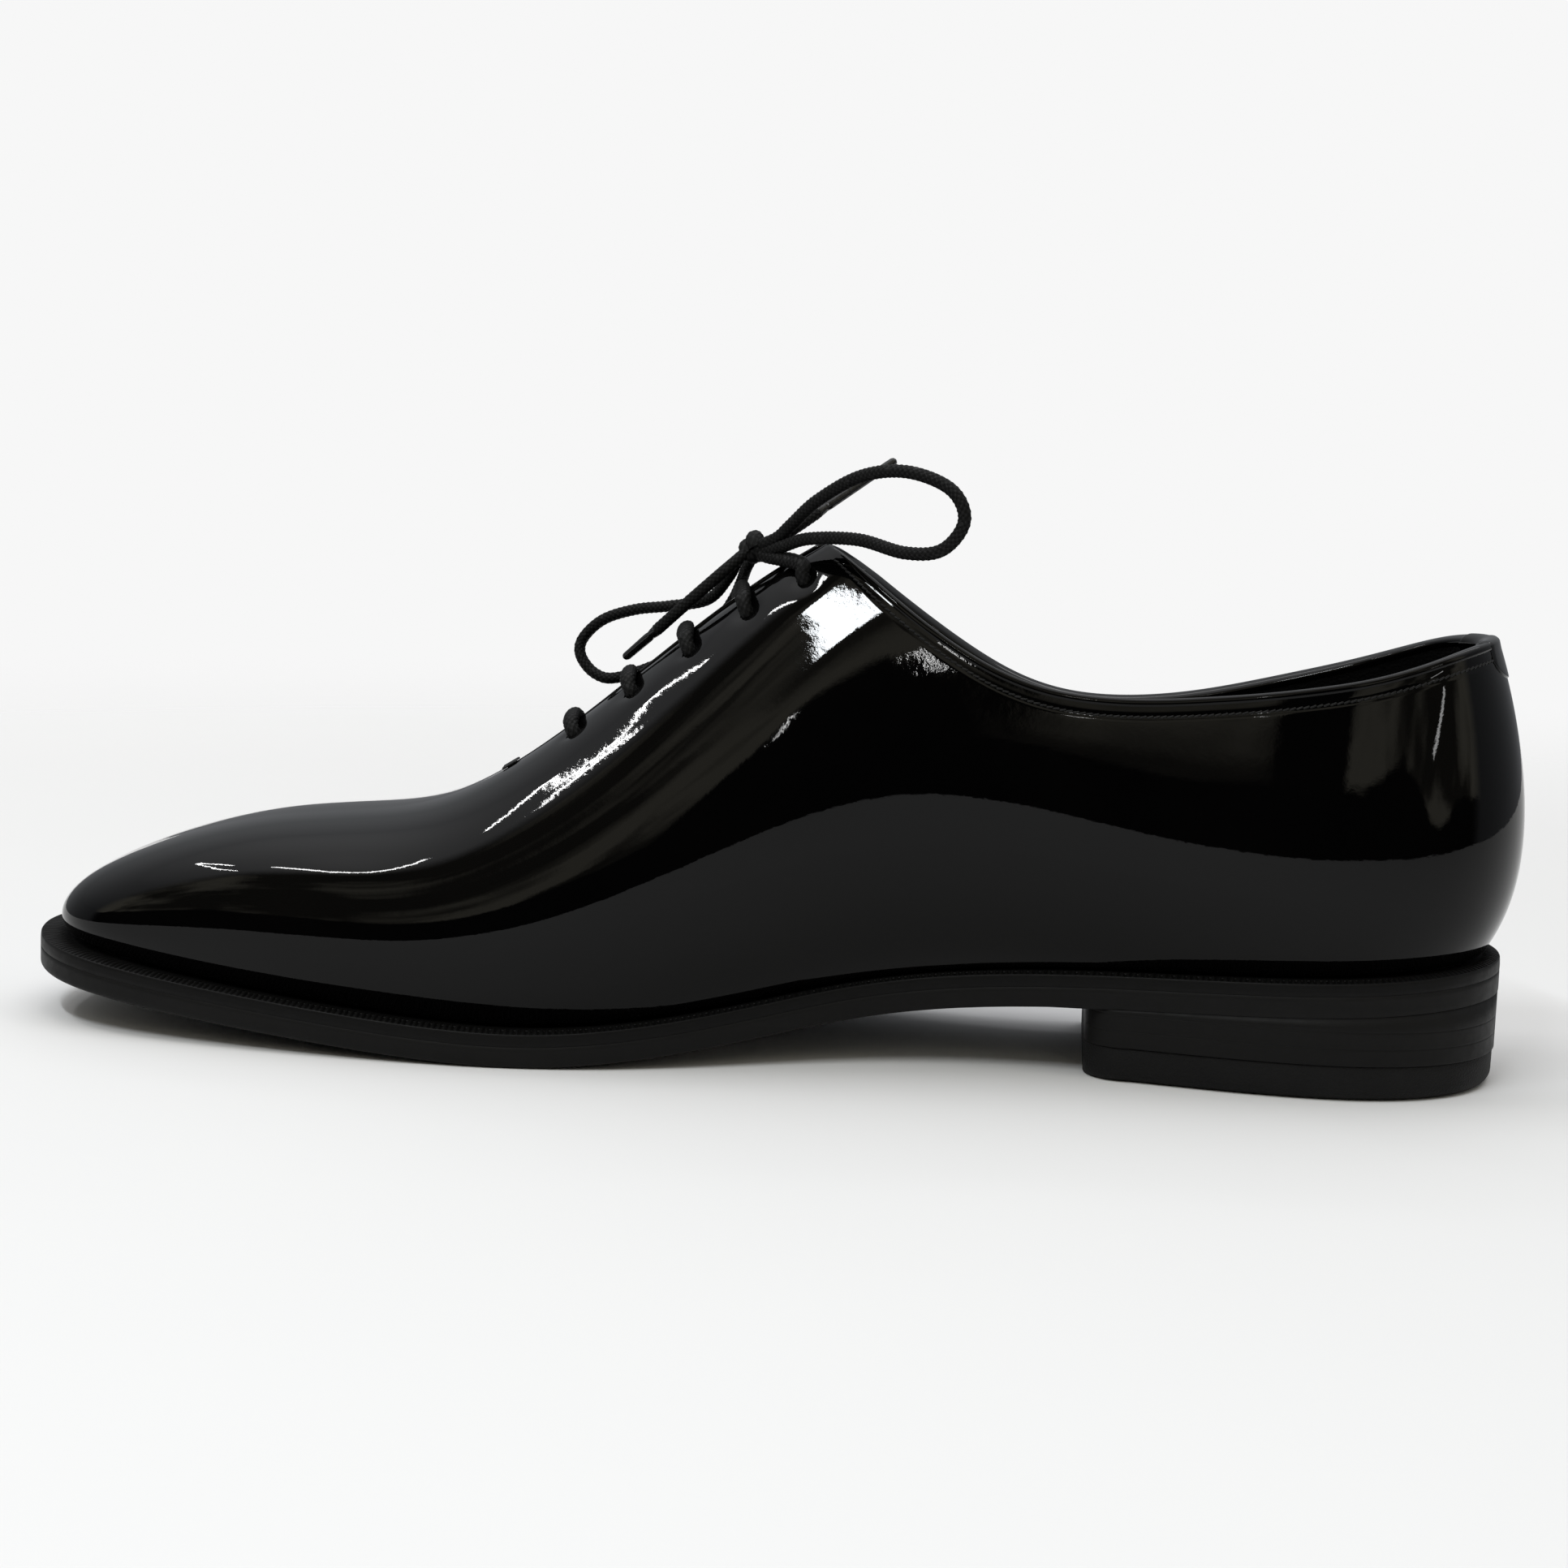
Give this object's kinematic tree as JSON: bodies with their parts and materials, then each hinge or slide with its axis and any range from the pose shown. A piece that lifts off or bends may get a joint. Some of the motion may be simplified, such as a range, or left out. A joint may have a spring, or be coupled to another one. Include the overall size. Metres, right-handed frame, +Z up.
{
  "type": "oxford shoe",
  "caption": "Right-foot wholecut oxford in black patent leather, laced in straight bars and tied in a bow, on a welted leather sole with a stacked heel.",
  "frame": {"origin": "centre of the heel's tread, on the ground", "axes": "+X from heel to toe, +Y toward the inner side of the foot, +Z up"},
  "size_m": [0.3037, 0.0972, 0.1197],
  "materials": {
    "patent": "black patent, mirror gloss",
    "welt_leather": "black edge dye, satin, notched top",
    "sole_leather": "black edge dye, satin",
    "sole_thread": "waxed thread",
    "cork": "ground cork",
    "shank_steel": "spring steel",
    "insole_leather": "undyed",
    "lining_black": "fine grain, matte",
    "lining_tan": "fine grain, matte",
    "heel_rubber": "matte black rubber",
    "nail_brass": "plain",
    "stiffener": "raw leatherboard",
    "backing_cloth": "cotton twill",
    "upper_thread": "fine black thread",
    "eyelet_metal": "plain",
    "lace_cotton": "waxed braided cotton",
    "aglet_plastic": "shiny"
  },
  "bodies": {
    "shoe": {"outsole": "sole_leather", "welt": "welt_leather", "welt_thread": "sole_thread", "cork_filler": "cork", "shank": "shank_steel", "insole": "insole_leather", "sock_liner": "lining_black", "heel_wedge": "sole_leather", "heel_lift_upper": "sole_leather", "heel_lift_lower": "sole_leather", "top_lift": "heel_rubber", "heel_nails": "nail_brass", "upper": "patent", "toe_puff": "stiffener", "interlining": "backing_cloth", "heel_counter": "stiffener", "vamp_lining": "lining_tan", "quarter_lining": "lining_black", "topline_binding": "patent", "topline_thread": "upper_thread", "heel_tab": "patent", "throat_tack": "upper_thread", "eyelets": "eyelet_metal", "lace_run": "lace_cotton", "bow_knot": "lace_cotton"},
    "tongue_flap": {"tongue": "patent", "tongue_lining": "lining_black"},
    "near_loop": {"near_loop": "lace_cotton"},
    "far_loop": {"far_loop": "lace_cotton"},
    "near_end": {"near_tail": "lace_cotton", "near_aglet": "aglet_plastic"},
    "far_end": {"far_tail": "lace_cotton", "far_aglet": "aglet_plastic"}
  },
  "joints": [
    {"name": "tongue_flap_hinge", "type": "hinge", "parent": "shoe", "child": "tongue_flap", "pos_m": [0.162, 0, 0.051], "axis": [0, 1, 0], "range_deg": [-12, 0]},
    {"name": "near_loop_swing", "type": "hinge", "parent": "shoe", "child": "near_loop", "pos_m": [0.122, 0.002, 0.101], "axis": [0, 0, 1], "range_deg": [-25, 0]},
    {"name": "far_loop_swing", "type": "hinge", "parent": "shoe", "child": "far_loop", "pos_m": [0.122, 0.002, 0.101], "axis": [0, 0, 1], "range_deg": [-15, 0]},
    {"name": "near_end_swing", "type": "hinge", "parent": "shoe", "child": "near_end", "pos_m": [0.122, 0.002, 0.101], "axis": [0, 1, 0], "range_deg": [-30, 0]},
    {"name": "far_end_swing", "type": "hinge", "parent": "shoe", "child": "far_end", "pos_m": [0.122, 0.002, 0.101], "axis": [0, 0, 1], "range_deg": [0, 25]}
  ]
}
